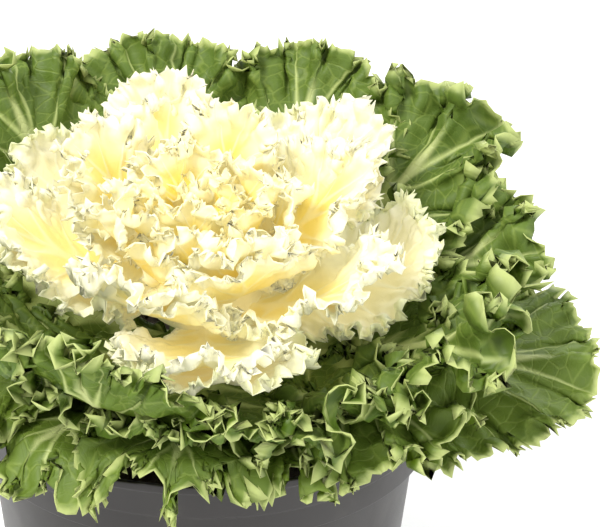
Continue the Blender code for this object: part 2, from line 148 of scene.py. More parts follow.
# Cream leaves of the solid heart, outermost to innermost, a little shorter than the solid ones
HEART_LEAVES = 24
HEART_WAVES = 7
GOLDEN_ANGLE = math.radians(137.508)
HEART_FOOT_HEIGHT = STEM_TOP + CLEARANCE
HEART_FOOT_SINK = 0.004
HEART_FOOT_CLIMB = 0.013
HEART_OUTER_REACH = 0.094
HEART_REACH_FALL = 0.066
HEART_REACH_BUNCHING = 0.85
HEART_PETIOLE_SHARE = 0.22
HEART_OUTER_WIDTH = 0.064
HEART_WIDTH_FALL = 0.038
HEART_OUTER_FOOT_SLOPE = 4.0
HEART_FOOT_SLOPE_RISE = 74.0
HEART_OUTER_TIP_SLOPE = 40.0
HEART_TIP_SLOPE_RISE = 54.0
HEART_TIP_BUNCHING = 0.7
HEART_MIDDLE_SHARE = 0.4
HEART_TURN_SPREAD = 0.08
HEART_OUTER_CUP = 14.0
HEART_CUP_RISE = 16.0
HEART_OUTER_WAVE = 0.0032
HEART_WAVE_FALL = 0.0012

# Small cream leaves between them, which make the frill dense
FILLING_LEAVES = 16
FILLING_BUNCHING = 1.4
FILLING_START = math.radians(-90.0)
FILLING_FOOT_SINK = 0.008
FILLING_FOOT_CLIMB = 0.012
FILLING_OUTER_REACH = 0.089
FILLING_REACH_FALL = 0.058
FILLING_OUTER_WIDTH = 0.050
FILLING_WIDTH_FALL = 0.026
FILLING_OUTER_FOOT_SLOPE = 12.0
FILLING_FOOT_SLOPE_RISE = 68.0
FILLING_OUTER_TIP_SLOPE = 50.0
FILLING_TIP_SLOPE_RISE = 42.0
FILLING_TURN_SPREAD = 0.1
FILLING_OUTER_CUP = 16.0
FILLING_CUP_RISE = 14.0
FILLING_WAVE_HEIGHT = 0.0030
FILLING_OUTER_TINT = 0.35

# Fine relief; each wave of a wobble is its speed, its share of the phase and its height
WOBBLE_WAVES = ((1.0, 1.7, 0.6), (2.3, 0.9, 0.4))
CREASE_WAVES = 7
CREASE_SHORTEST = 0.6
CREASE_SPREAD = 0.8
CREASE_PHASE = 1.3
FRILL_SWAY = 2.2
FRILL_SWAY_RATE = 6.0
FRILL_MEAN = 0.75
FRILL_SWELL = 0.35
FRILL_SWELL_RATE = 11.0
FRILL_SIDE_SHARE = 0.45
FRILL_PHASE = 3.0
CURL_SHIFT = 2.0
TOOTH_SWAY = 1.5
TOOTH_SWAY_RATE = 9.0
TOOTH_MEAN = 0.7
TOOTH_SWELL = 0.5
TOOTH_SWELL_RATE = 14.0
TOOTH_SWELL_SHIFT = 4.0
TOOTH_WIDTH_SHARE = 0.45
TOOTH_SEEDS = 1e6
MIDDLE_THICKNESS = 1.6
RIB_END = 1.05
RIB_FALL = 1.5
RIB_TIP_SHARE = 0.16
RIB_TIP_WIDTH_SHARE = 0.35
VEIN_HALF_WIDTH = 0.0009
VEIN_FALL = 0.7
VEIN_LEAST_OUTWARD = 0.05

# Fine nets of veins, and the faint glow that stands for light through the cream leaves
NET_CELLS_PER_METRE = 210.0
FINE_CELLS_PER_METRE = 520.0
LIGHT_THROUGH_CREAM = 0.11

# Soil's top
SOIL_RINGS = 44
SOIL_STEPS = 120
SOIL_LUMP_HEIGHT = 0.0016
SOIL_LUMPS_PER_METRE = 95.0
CRUMB_COUNT = 520
CRUMB_SMALLEST = 0.0008
CRUMB_LARGEST = 0.0026
CRUMB_WIDTHS = (0.5, 1.0)
CRUMB_HEIGHTS = (0.4, 0.8)
CRUMB_REACH = 0.97

# Seed of the random draws; the small cream leaves take the one after it
PLANT_SEED = 29


@dataclass
class Leaf:
    """One leaf: angles in radians, lengths in metres, rise as three slopes from foot to tip."""

    azimuth: float
    foot_height: float
    petiole: float
    blade: float
    width: float
    rise: tuple
    cup: float
    wave_height: float
    waves: int
    phase: float = 0.0
    layer: int = 0
    tint: float = 0.0
    frill: float = 1.0


@dataclass
class Finish:
    """What makes a blade fine: its grid, its frills and its thickness."""

    columns: int
    rows: tuple
    overhang: float
    frill_period: float
    frill_height: float
    frill_growth: float
    curl_period: float
    curl_height: float
    curl_growth: float
    crease_period: float
    crease_height: float
    crease_growth: float
    tooth_period: float
    tooth_length: float
    tooth_growth: float
    raggedness: float
    edge_thickness: float
    rib_thickness: float
    rib_half_width: float
    veins: int
    vein_relief: float


GREEN_FINISH = Finish(
    columns=340,
    rows=(0.0, 0.03, 0.08, 0.18, 0.32, 0.47, 0.60, 0.71, 0.80, 0.87, 0.925, 0.965, 1.0),
    overhang=0.0022,
    frill_period=0.0095, frill_height=0.0042, frill_growth=3.2,
    curl_period=0.0052, curl_height=0.0022, curl_growth=5.0,
    crease_period=0.0085, crease_height=0.0025, crease_growth=1.6,
    tooth_period=0.0036, tooth_length=0.0042, tooth_growth=9.0, raggedness=0.50,
    edge_thickness=0.00045, rib_thickness=0.0046, rib_half_width=0.0030,
    veins=7, vein_relief=0.0005)
CREAM_FINISH = Finish(
    columns=324,
    rows=(0.0, 0.05, 0.15, 0.30, 0.45, 0.58, 0.69, 0.78, 0.85, 0.90, 0.94, 0.97, 1.0),
    overhang=0.0012,
    frill_period=0.0060, frill_height=0.0020, frill_growth=6.0,
    curl_period=0.0032, curl_height=0.0008, curl_growth=9.0,
    crease_period=0.0080, crease_height=0.0021, crease_growth=2.4,
    tooth_period=0.0026, tooth_length=0.0036, tooth_growth=14.0, raggedness=0.75,
    edge_thickness=0.00045, rib_thickness=0.0032, rib_half_width=0.0024,
    veins=6, vein_relief=0.0003)
CREAM_INNER_COLUMNS = 240


def plant_matrix():
    """The plant's frame: it stands on the soil and leans to the front."""
    return Matrix.Translation((0.0, 0.0, SOIL_LEVEL)) @ Matrix.Rotation(LEAN_TO_FRONT, 4, "X")


def ease(share):
    """A smooth step from 0 to 1."""
    share = np.clip(share, 0.0, 1.0)
    return share * share * (3.0 - 2.0 * share)


def flat_blade(leaf, around, outward):
    """The flat blade: around runs from -1 to 1 round the margin with the tip at 0,
    outward from 0 on the midrib to 1 on the margin."""
    share = np.abs(around)
    sweep = np.minimum(share / PETIOLE_START, 1.0) * BLADE_SWEEP
    down = np.clip((share - PETIOLE_START) / (1.0 - PETIOLE_START), 0.0, 1.0)
    margin_x = 0.5 * leaf.width * np.sin(sweep)
    margin_x = margin_x + (PETIOLE_HALF_WIDTH - margin_x) * ease(down ** PETIOLE_TAPER)
    margin_y = (leaf.petiole + leaf.blade * 0.5 * (1.0 + np.cos(sweep))) * (1.0 - down)
    rib_y = (leaf.petiole + RIB_REACH * leaf.blade) * (1.0 - share ** RIB_BUNCHING)
    x = np.sign(around) * margin_x * outward
    y = rib_y + (margin_y - rib_y) * outward
    x = x * (1.0 + LOBE_DEPTH * np.cos(LOBE_RATE * math.pi * around + leaf.phase) * outward)
    return x, y


def margin_fade(around):
    """1 on the blade's margin, 0 on the petiole."""
    return 1.0 - ease((np.abs(around) - PETIOLE_START + WAVE_FADE_BEFORE_PETIOLE) / WAVE_FADE)


def wave_of(leaf, around, outward):
    """How far the waved margin stands off the blade; waves counts them round the margin."""
    swell = 1.0 + WAVE_SWELL * np.sin(WAVE_SWELL_RATE * around + leaf.phase)
    height = leaf.wave_height * swell * margin_fade(around) * outward ** WAVE_GROWTH
    return height * np.cos(math.pi * leaf.waves * around)


def bend_blade(leaf, x, y, wave):
    """Bends the flat blade along its midrib and cups it across, and turns it to its azimuth."""
    length = leaf.petiole + leaf.blade * BEND_REACH
    stations = np.linspace(0.0, length, BEND_STEPS)
    slope = np.interp(stations / length, BEND_STATIONS, leaf.rise)
    step = stations[1]
    out = np.concatenate(([0.0], np.cumsum(np.cos(slope[:-1]) * step)))
    up = np.concatenate(([0.0], np.cumsum(np.sin(slope[:-1]) * step)))
    here = np.interp(y, stations, slope)
    turned = leaf.cup * x
    across = np.sin(turned) / leaf.cup - wave * np.sin(turned)
    lift = (1.0 - np.cos(turned)) / leaf.cup + wave * np.cos(turned)
    distance = LEAF_FOOT_DISTANCE + np.interp(y, stations, out) - lift * np.sin(here)
    height = leaf.foot_height + np.interp(y, stations, up) + lift * np.cos(here)
    cosine = math.cos(leaf.azimuth)
    sine = math.sin(leaf.azimuth)
    x = distance * cosine - across * sine
    y = distance * sine + across * cosine
    return np.stack((x, y, height), axis=-1)


def soft_floor(value, lowest, softness):
    """Lifts a value over a lowest one, smoothly."""
    return lowest + softness * np.logaddexp(0.0, (value - lowest) / softness)


def bowl_share(places):
    """The bowl's middle, each place's offset from it, and how far out the place lies:
    1 on the bowl itself."""
    middle = np.array((0.0, 0.0, BOWL_MIDDLE_HEIGHT))
    offset = places - middle
    drop = np.minimum(offset[..., 2], 0.0)
    radius = np.hypot(offset[..., 0], offset[..., 1])
    return middle, offset, np.maximum(np.hypot(radius / BOWL_RADIUS, drop / BOWL_DEPTH), 1e-6)


def scale_in_bowl(middle, offset, factor):
    """Moves places towards or away from the bowl's middle; above it they only move sideways."""
    moved = offset * factor[..., None]
    moved[..., 2] = np.where(offset[..., 2] > 0.0, offset[..., 2], moved[..., 2])
    return middle + moved


def keep_in_bowl(places, leaf):
    """Keeps a heart's leaf inside the bowl."""
    middle, offset, share = bowl_share(places)
    wanted = -soft_floor(-share, LAYER_SHARE * leaf.layer - BOWL_INSIDE, BOWL_SOFTNESS)
    return scale_in_bowl(middle, offset, np.minimum(wanted / share, 1.0))


def keep_out_of_bowl(places, leaf):
    """Keeps a green leaf outside the bowl."""
    middle, offset, share = bowl_share(places)
    wanted = soft_floor(share, BOWL_OUTSIDE + LAYER_SHARE * leaf.layer, BOWL_SOFTNESS)
    return scale_in_bowl(middle, offset, np.maximum(wanted / share, 1.0))


def keep_over_rim(places, leaf):
    """Keeps a green leaf above the pot's rim, and outside it where the leaf hangs lower."""
    matrix = np.array(plant_matrix())
    world = places @ matrix[:3, :3].T + matrix[:3, 3]
    radius = np.hypot(world[..., 0], world[..., 1])
    lowest = RIM_CLEAR_HEIGHT - RIM_FALL * np.maximum(radius - RIM_CLEAR_RADIUS, 0.0)
    lowest = lowest + LAYER_GAP * leaf.layer
    world[..., 2] = soft_floor(world[..., 2], lowest, RIM_SOFTNESS)
    return (world - matrix[:3, 3]) @ matrix[:3, :3]


def slopes(*degrees):
    """A leaf's slopes from foot to tip, in radians."""
    return tuple(math.radians(angle) for angle in degrees)


def green_leaves():
    """The green leaves, in an upper whorl round the heart and a lower one that spreads.

    A few end a little sooner or later than the solid ones, as the photograph shows."""
    random.seed(PLANT_SEED)
    upper = [
        # azimuth, blade, width, rise at foot, middle and tip in degrees, strength of the frill
        (101, 0.088, 0.080, (12, 34, 54), 0.75),
        (136, 0.089, 0.080, (12, 34, 52), 0.75),
        (65, 0.090, 0.080, (12, 32, 52), 0.80),
        (33, 0.092, 0.078, (12, 27, 42), 1.10),
        (4, 0.086, 0.076, (12, 27, 38), 1.20),
        (-27, 0.078, 0.072, (12, 25, 38), 1.20),
        (-58, 0.064, 0.066, (12, 27, 46), 1.20),
        (-86, 0.054, 0.062, (12, 27, 50), 1.10),
        (-115, 0.076, 0.070, (14, 42, 84), 1.10),
        (-148, 0.084, 0.074, (14, 36, 66), 1.10),
        (172, 0.088, 0.078, (12, 34, 56), 1.00),
    ]
    lower = [
        # azimuth, petiole, blade, width, rise in degrees, height of the waves
        (-11, 0.042, 0.092, 0.088, (18, 15, 6), 0.0030),
        (-38, 0.036, 0.068, 0.072, (24, 19, 6), 0.0060),
        (-65, 0.033, 0.058, 0.066, (27, 19, -16), 0.0060),
        (-96, 0.032, 0.060, 0.068, (28, 14, -36), 0.0060),
        (-129, 0.034, 0.062, 0.068, (27, 15, -26), 0.0060),
        (-165, 0.040, 0.080, 0.078, (22, 15, -6), 0.0055),
        (152, 0.044, 0.088, 0.082, (14, 11, -2), 0.0050),
        (112, 0.044, 0.088, 0.082, (10, 10, 4), 0.0050),
        (70, 0.044, 0.088, 0.082, (10, 11, 6), 0.0050),
        (27, 0.044, 0.088, 0.078, (12, 9, -4), 0.0050),
    ]
    upper_leaves = []
    lower_leaves = []
    for index, (azimuth, blade, width, rise, frill) in enumerate(upper):
        layer = index % 2
        upper_leaves.append(Leaf(
            azimuth=math.radians(azimuth),
            foot_height=UPPER_FOOT_HEIGHT + FOOT_STAGGER * layer,
            petiole=UPPER_PETIOLE,
            blade=blade,
            width=width,
            rise=slopes(*rise),
            cup=UPPER_CUP,
            wave_height=GREEN_WAVE_HEIGHT * frill,
            waves=GREEN_WAVES,
            phase=random.uniform(0.0, 2.0 * math.pi),
            layer=layer,
            tint=UPPER_TINT + UPPER_TINT_STEP * (index % TINTS),
            frill=frill))
    for index, (azimuth, petiole, blade, width, rise, wave_height) in enumerate(lower):
        layer = index % 2
        lower_leaves.append(Leaf(
            azimuth=math.radians(azimuth),
            foot_height=LOWER_FOOT_HEIGHT + FOOT_STAGGER * layer,
            petiole=petiole,
            blade=blade,
            width=width,
            rise=slopes(*rise),
            cup=LOWER_CUP,
            wave_height=wave_height,
            waves=GREEN_WAVES,
            phase=random.uniform(0.0, 2.0 * math.pi),
            layer=layer,
            tint=LOWER_TINT + LOWER_TINT_STEP * (index % TINTS),
            frill=wave_height / LOWER_FULL_WAVE))
    return upper_leaves, lower_leaves


def heart_leaves():
    """The heart's cream leaves, set on a spiral: the outer ones broad and spreading,
    the inner ones small and upright."""
    random.seed(PLANT_SEED)
    leaves = []
    for index in range(HEART_LEAVES):
        inward = index / (HEART_LEAVES - 1.0)
        reach = HEART_OUTER_REACH - HEART_REACH_FALL * inward ** HEART_REACH_BUNCHING
        foot_slope = HEART_OUTER_FOOT_SLOPE + HEART_FOOT_SLOPE_RISE * inward
        tip_slope = HEART_OUTER_TIP_SLOPE + HEART_TIP_SLOPE_RISE * inward ** HEART_TIP_BUNCHING
        middle_slope = foot_slope + HEART_MIDDLE_SHARE * (tip_slope - foot_slope)
        turned = random.uniform(-HEART_TURN_SPREAD, HEART_TURN_SPREAD)
        leaves.append(Leaf(
            azimuth=index * GOLDEN_ANGLE + turned,
            foot_height=HEART_FOOT_HEIGHT + HEART_FOOT_SINK + HEART_FOOT_CLIMB * inward,
            petiole=reach * HEART_PETIOLE_SHARE,
            blade=reach * (1.0 - HEART_PETIOLE_SHARE),
            width=HEART_OUTER_WIDTH - HEART_WIDTH_FALL * inward,
            rise=slopes(foot_slope, middle_slope, tip_slope),
            cup=HEART_OUTER_CUP + HEART_CUP_RISE * inward,
            wave_height=HEART_OUTER_WAVE - HEART_WAVE_FALL * inward,
            waves=HEART_WAVES,
            phase=random.uniform(0.0, 2.0 * math.pi),
            tint=inward))
    return leaves


def filling_leaves():
    """Small cream leaves between those of the solid heart, on a spiral that starts in front."""
    random.seed(PLANT_SEED + 1)
    leaves = []
    for index in range(FILLING_LEAVES):
        inward = (index / (FILLING_LEAVES - 1.0)) ** FILLING_BUNCHING
        reach = FILLING_OUTER_REACH - FILLING_REACH_FALL * inward
        foot_slope = FILLING_OUTER_FOOT_SLOPE + FILLING_FOOT_SLOPE_RISE * inward
        tip_slope = FILLING_OUTER_TIP_SLOPE + FILLING_TIP_SLOPE_RISE * inward
        middle_slope = 0.5 * (foot_slope + tip_slope)
        turned = random.uniform(-FILLING_TURN_SPREAD, FILLING_TURN_SPREAD)
        leaves.append(Leaf(
            azimuth=FILLING_START + index * GOLDEN_ANGLE + turned,
            foot_height=HEART_FOOT_HEIGHT + FILLING_FOOT_SINK + FILLING_FOOT_CLIMB * inward,
            petiole=reach * HEART_PETIOLE_SHARE,
            blade=reach * (1.0 - HEART_PETIOLE_SHARE),
            width=FILLING_OUTER_WIDTH - FILLING_WIDTH_FALL * inward,
            rise=slopes(foot_slope, middle_slope, tip_slope),
            cup=FILLING_OUTER_CUP + FILLING_CUP_RISE * inward,
            wave_height=FILLING_WAVE_HEIGHT,
            waves=HEART_WAVES,
            phase=random.uniform(0.0, 2.0 * math.pi),
            tint=FILLING_OUTER_TINT + (1.0 - FILLING_OUTER_TINT) * inward))
    return leaves


def wobble(place, phase, rate):
    """A slow irregular shift in -1..1 along the margin."""
    return sum(height * np.sin(speed * rate * place + share * phase)
               for speed, share, height in WOBBLE_WAVES)


def grid_directions(places):
    """Unit normals of a grid of places and unit directions along its columns' order."""
    along = np.gradient(places, axis=0)
    outward = np.gradient(places, axis=1)
    normals = np.cross(along, outward)
    normals /= np.maximum(np.linalg.norm(normals, axis=-1, keepdims=True), 1e-12)
    normals[:, 0] = normals[:, 1]
    along /= np.maximum(np.linalg.norm(along, axis=-1, keepdims=True), 1e-12)
    return normals, along


def share_midrib(values):
    """Makes the two sides agree on the midrib."""
    values[:, 0] = 0.5 * (values[:, 0] + values[::-1, 0])
    return values


def margin_length(leaf):
    """About how long the blade's flat margin is, as an ellipse."""
    mean_square = 0.5 * ((0.5 * leaf.width) ** 2 + (0.5 * leaf.blade) ** 2)
    return 2.0 * math.pi * math.sqrt(mean_square)


def frilled(places, around, outward, leaf, period, height, growth, shift):
    """Adds one order of frill, square to the surface and a little along it."""
    normals, along = grid_directions(places)
    count = margin_length(leaf) / period
    sway = FRILL_SWAY * wobble(around, leaf.phase + shift, FRILL_SWAY_RATE)
    angle = math.pi * count * around + sway + FRILL_PHASE * leaf.phase + shift
    swell = FRILL_MEAN + FRILL_SWELL * wobble(around, 2.0 * leaf.phase + shift, FRILL_SWELL_RATE)
    strength = height * leaf.frill * swell * margin_fade(around) * outward ** growth
    rise = (strength * np.sin(angle))[..., None] * normals
    slide = (strength * FRILL_SIDE_SHARE * np.sin(2.0 * angle))[..., None] * along
    return share_midrib(places + rise - slide)


def creased(places, x, y, outward, leaf, finish):
    """Crumples the blade square to its surface, by sine waves that cross in all directions."""
    normals, _ = grid_directions(places)
    field = np.zeros_like(x)
    for turn in range(CREASE_WAVES):
        direction = leaf.phase + turn * GOLDEN_ANGLE
        period = finish.crease_period * (CREASE_SHORTEST + CREASE_SPREAD * turn / CREASE_WAVES)
        way = x * math.cos(direction) + y * math.sin(direction)
        field += np.sin(2.0 * math.pi * way / period + leaf.phase * (turn + CREASE_PHASE))
    height = finish.crease_height * leaf.frill / math.sqrt(CREASE_WAVES)
    strength = height * outward ** finish.crease_growth
    return share_midrib(places + (strength * field)[..., None] * normals)


def vein_distance(around, outward, leaf, finish):
    """Flat distance to the nearest side vein, which runs out along the fan."""
    spacing = 1.0 / finish.veins
    off = np.abs((np.abs(around) / spacing) % 1.0 - 0.5) * spacing
    return off * 0.5 * margin_length(leaf) * np.maximum(outward, VEIN_LEAST_OUTWARD)


def toothed_reach(leaf, finish, columns, around, outward):
    """How far the grid reaches out past the smooth margin, as a factor: its teeth."""
    count = margin_length(leaf) / finish.tooth_period
    sway = TOOTH_SWAY * wobble(around, leaf.phase, TOOTH_SWAY_RATE)
    swollen = wobble(around, leaf.phase + TOOTH_SWELL_SHIFT, TOOTH_SWELL_RATE)
    swell = TOOTH_MEAN + TOOTH_SWELL * swollen
    even = np.abs(np.sin(math.pi * count * around + sway)) * swell
    draws = np.random.default_rng(int(leaf.phase * TOOTH_SEEDS))
    ragged = draws.random((columns + 1, 1))
    tooth = (1.0 - finish.raggedness) * even + finish.raggedness * ragged
    tooth = tooth * margin_fade(around) * outward ** finish.tooth_growth
    return 1.0 + finish.tooth_length / (TOOTH_WIDTH_SHARE * leaf.width) * tooth


def leaf_thickness(leaf, finish, around, outward, x, y):
    """How thick the leaf is: thin at its edge, ridged along its midrib and its veins."""
    rib_length = leaf.petiole + RIB_REACH * leaf.blade
    fall = (1.0 - np.clip(y / rib_length, 0.0, 1.0)) ** RIB_FALL
    rib_width = finish.rib_half_width * (RIB_TIP_WIDTH_SHARE + (1.0 - RIB_TIP_WIDTH_SHARE) * fall)
    ridge = np.sqrt(np.clip(1.0 - (x / rib_width) ** 2, 0.0, 1.0)) * (y < rib_length * RIB_END)
    rib = finish.rib_thickness * (RIB_TIP_SHARE + (1.0 - RIB_TIP_SHARE) * fall) * ridge
    distance = vein_distance(around, outward, leaf, finish)
    veins = np.exp(-(distance / VEIN_HALF_WIDTH) ** 2) * (1.0 - outward) ** VEIN_FALL
    blade = finish.edge_thickness * (MIDDLE_THICKNESS - outward)
    return blade + rib + finish.vein_relief * veins


def fine_blade(leaf, finish, columns, keep_in_room, keep_off):
    """Places, half thickness and fan values of one leaf's grid."""
    half = columns // 2
    columns_around = np.arange(-half, half + 1) / half
    around, outward = np.meshgrid(columns_around, np.array(finish.rows), indexing="ij")
    reach = toothed_reach(leaf, finish, columns, around, outward)
    x, y = flat_blade(leaf, around, outward * reach)
    places = bend_blade(leaf, x, y, wave_of(leaf, around, outward))
    _, along = grid_directions(places)
    overhang = finish.overhang * margin_fade(around) * outward ** WAVE_GROWTH
    slide = overhang * np.sin(2.0 * math.pi * leaf.waves * around)
    places = keep_in_room(share_midrib(places - slide[..., None] * along), leaf)
    places = creased(places, x, y, outward, leaf, finish)
    places = frilled(places, around, outward, leaf, finish.frill_period, finish.frill_height,
                     finish.frill_growth, 0.0)
    places = keep_off(places, leaf)
    places = frilled(places, around, outward, leaf, finish.curl_period, finish.curl_height,
                     finish.curl_growth, CURL_SHIFT)
    thick = leaf_thickness(leaf, finish, around, outward, x, y)
    return places, 0.5 * thick, np.abs(around), outward, x, y


def shell_faces(columns, rows):
    """Faces of a closed blade: its upper side, its lower side and the wall round the edge."""
    half = columns // 2
    block = half + 1 + (rows - 1) * (columns + 1)
    index = np.empty((columns + 1, rows), dtype=np.int64)
    index[:, 0] = np.abs(np.arange(-half, half + 1))
    for row in range(1, rows):
        index[:, row] = half + 1 + (row - 1) * (columns + 1) + np.arange(columns + 1)
    a = index[:-1, :-1].ravel()
    b = index[:-1, 1:].ravel()
    c = index[1:, 1:].ravel()
    d = index[1:, :-1].ravel()
    upper = np.concatenate((np.stack((a, d, c), 1), np.stack((a, c, b), 1)))
    lower = upper[:, ::-1] + block
    edge = np.concatenate((index[0, :], index[1:, -1], index[-1, -2::-1]))
    ring = np.stack((edge[:-1], edge[1:]), 1)
    wall = np.concatenate((
        np.stack((ring[:, 0], ring[:, 1], ring[:, 1] + block), 1),
        np.stack((ring[:, 0], ring[:, 1] + block, ring[:, 0] + block), 1)))
    return index, block, np.concatenate((upper, lower, wall))


def shell_values(values, index, block):
    """A grid's values in the order of the shell's vertices, for one side."""
    flat = np.empty((block,) + values.shape[2:])
    flat[index.ravel()] = values.reshape((-1,) + values.shape[2:])
    return flat


def leaf_arrays(leaf, finish, columns, keep):
    """Vertices, faces and attributes of one closed leaf, in the plant's frame."""
    places, half_thick, around, outward, x, y = fine_blade(leaf, finish, columns, *keep)
    normals, _ = grid_directions(places)
    normals = share_midrib(normals)
    normals /= np.maximum(np.linalg.norm(normals, axis=-1, keepdims=True), 1e-12)
    offset = normals * half_thick[..., None]
    index, block, faces = shell_faces(columns, len(finish.rows))
    upper = shell_values(places + offset, index, block)
    lower = shell_values(places - offset, index, block)
    tint = np.full_like(around, leaf.tint)
    shift = np.full_like(x, leaf.phase * 0.1)
    fan = shell_values(np.stack((around, outward, tint), axis=-1), index, block)
    flat = shell_values(np.stack((np.abs(x), y, shift), axis=-1), index, block)
    under = np.concatenate((np.zeros(block), np.ones(block)))
    places = np.concatenate((upper, lower))
    return places, faces, np.tile(fan, (2, 1)), np.tile(flat, (2, 1)), under


def to_world(places):
    """Places in the plant's frame as places of the part."""
    matrix = np.array(plant_matrix())
    return places @ matrix[:3, :3].T + matrix[:3, 3]


def mesh_from_arrays(name, places, faces, vectors, numbers):
    """A smooth triangle mesh with named vertex attributes."""
    mesh = bpy.data.meshes.new(name)
    mesh.vertices.add(len(places))
    mesh.vertices.foreach_set("co", places.astype(np.float32).ravel())
    mesh.loops.add(len(faces) * 3)
    mesh.loops.foreach_set("vertex_index", faces.astype(np.int32).ravel())
    mesh.polygons.add(len(faces))
    mesh.polygons.foreach_set("loop_start", np.arange(0, len(faces) * 3, 3, dtype=np.int32))
    mesh.update()
    mesh.validate()
    for key, values in vectors.items():
        layer = mesh.attributes.new(key, "FLOAT_VECTOR", "POINT")
        layer.data.foreach_set("vector", values.astype(np.float32).ravel())
    for key, values in numbers.items():
        layer = mesh.attributes.new(key, "FLOAT", "POINT")
        layer.data.foreach_set("value", values.astype(np.float32).ravel())
    mesh.shade_smooth()
    return mesh


def new_object(name, data):
    """A new object in the scene."""
    item = bpy.data.objects.new(name, data)
    bpy.context.scene.collection.objects.link(item)
    return item


def add_piece(name, mesh, material, node=None):
    """Adds a piece that rides on the part, takes the given material and hides the node it stands
    for.
    """
    piece = new_object(name, mesh)
    mesh.materials.append(material)
    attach(piece, "root")
    if node is not None:
        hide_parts(node)
    return piece


def leaves_piece(name, leaves, finish, columns, keep, material, node):
    """One piece of many leaves."""
    parts = [leaf_arrays(leaf, finish, columns, keep) for leaf in leaves]
    start = 0
    faces = []
    for part in parts:
        faces.append(part[1] + start)
        start += len(part[0])
    places = to_world(np.concatenate([part[0] for part in parts]))
    fan = np.concatenate([part[2] for part in parts])
    flat = np.concatenate([part[3] for part in parts])
    under = np.concatenate([part[4] for part in parts])
    vectors = {"fan": fan, "flat": flat}
    mesh = mesh_from_arrays(name, places, np.concatenate(faces), vectors, {"under": under})
    return add_piece(name, mesh, material, node)


class Nodes:
    """A short way to lay out a material's nodes."""

    def __init__(self, name):
        self.material = bpy.data.materials.new(name)
        self.material.use_nodes = True
        self.tree = self.material.node_tree
        self.shader = self.tree.nodes["Principled BSDF"]

    def new(self, kind, **settings):
        """A node with some of its settings."""
        node = self.tree.nodes.new(kind)
        for key, value in settings.items():
            setattr(node, key, value)
        return node

    def put(self, target, value):
        """Links a socket to an input, or sets the input."""
        if isinstance(value, bpy.types.NodeSocket):
            self.tree.links.new(value, target)
        else:
            target.default_value = value

    def fill(self, node, **values):
        """Fills a node's inputs; an underscore stands for a space in an input's name."""
        for name, value in values.items():
            self.put(node.inputs[name.replace("_", " ")], value)

    def math(self, operation, first, second=0.0):
        """A Math node's result."""
        node = self.new("ShaderNodeMath", operation=operation)
        self.put(node.inputs[0], first)
        self.put(node.inputs[1], second)
        return node.outputs[0]

    def total(self, *terms):
        """The sum of values, each times its weight."""
        result = 0.0
        for value, weight in terms:
            result = self.math("ADD", result, self.math("MULTIPLY", value, weight))
        return result

    def ramp(self, value, low, high, start=0.0, end=1.0):
        """Maps a range smoothly."""
        node = self.new("ShaderNodeMapRange", interpolation_type="SMOOTHSTEP")
        self.fill(node, Value=value, From_Min=low, From_Max=high, To_Min=start, To_Max=end)
        return node.outputs["Result"]

    def mix(self, share, first, second):
        """A colour mix's result."""
        node = self.new("ShaderNodeMix", data_type="RGBA")
        self.put(node.inputs["Factor"], share)
        self.put(node.inputs[6], first)
        self.put(node.inputs[7], second)
        return node.outputs[2]

    def attribute(self, name):
        """A vertex attribute's node."""
        return self.new("ShaderNodeAttribute", attribute_name=name, attribute_type="GEOMETRY")

    def split(self, vector):
        """A vector's three numbers."""
        node = self.new("ShaderNodeSeparateXYZ")
        self.put(node.inputs[0], vector)
        return node.outputs

    def noise(self, vector, scale, detail=3.0, roughness=0.5):
        """A noise value."""
        node = self.new("ShaderNodeTexNoise")
        self.fill(node, Vector=vector, Scale=scale, Detail=detail, Roughness=roughness)
        return node.outputs["Fac"]

    def cells(self, vector, scale):
        """The distance to the nearest edge of a net of cells."""
        node = self.new("ShaderNodeTexVoronoi", feature="DISTANCE_TO_EDGE")
        self.fill(node, Vector=vector, Scale=scale)
        return node.outputs["Distance"]

    def bump(self, height, strength, distance):
        """Sets the shader's normal from a height."""
        node = self.new("ShaderNodeBump")
        self.fill(node, Height=height, Strength=strength, Distance=distance)
        self.fill(self.shader, Normal=node.outputs["Normal"])

    def place(self):
        """The object's own coordinates."""
        return self.new("ShaderNodeTexCoord").outputs["Object"]

    def surface(self, colour, roughness):
        """Sets the shader's colour and roughness."""
        self.fill(self.shader, Base_Color=colour, Roughness=roughness)


def rgb(red, green, blue):
    """A colour with full alpha."""
    return (red, green, blue, 1.0)


def vein_values(nodes, fan, veins, spread):
    """How strongly a place lies on the midrib or a side vein, from the fan's values."""
    spacing = 1.0 / veins
    turns = nodes.math("DIVIDE", fan[0], spacing)
    fraction = nodes.math("FRACT", turns)
    off = nodes.math("ABSOLUTE", nodes.math("SUBTRACT", fraction, 0.5))
    distance = nodes.math("MULTIPLY", nodes.math("MULTIPLY", off, spacing * spread),
                          nodes.math("MAXIMUM", fan[1], VEIN_LEAST_OUTWARD))
    width = nodes.ramp(fan[1], 0.0, 1.0, 1.0, 0.28)
    side = nodes.ramp(nodes.math("DIVIDE", distance, width), 0.0, 1.0, 1.0, 0.0)
    return nodes.math("MULTIPLY", side, nodes.ramp(fan[1], 0.80, 1.0, 1.0, 0.35))


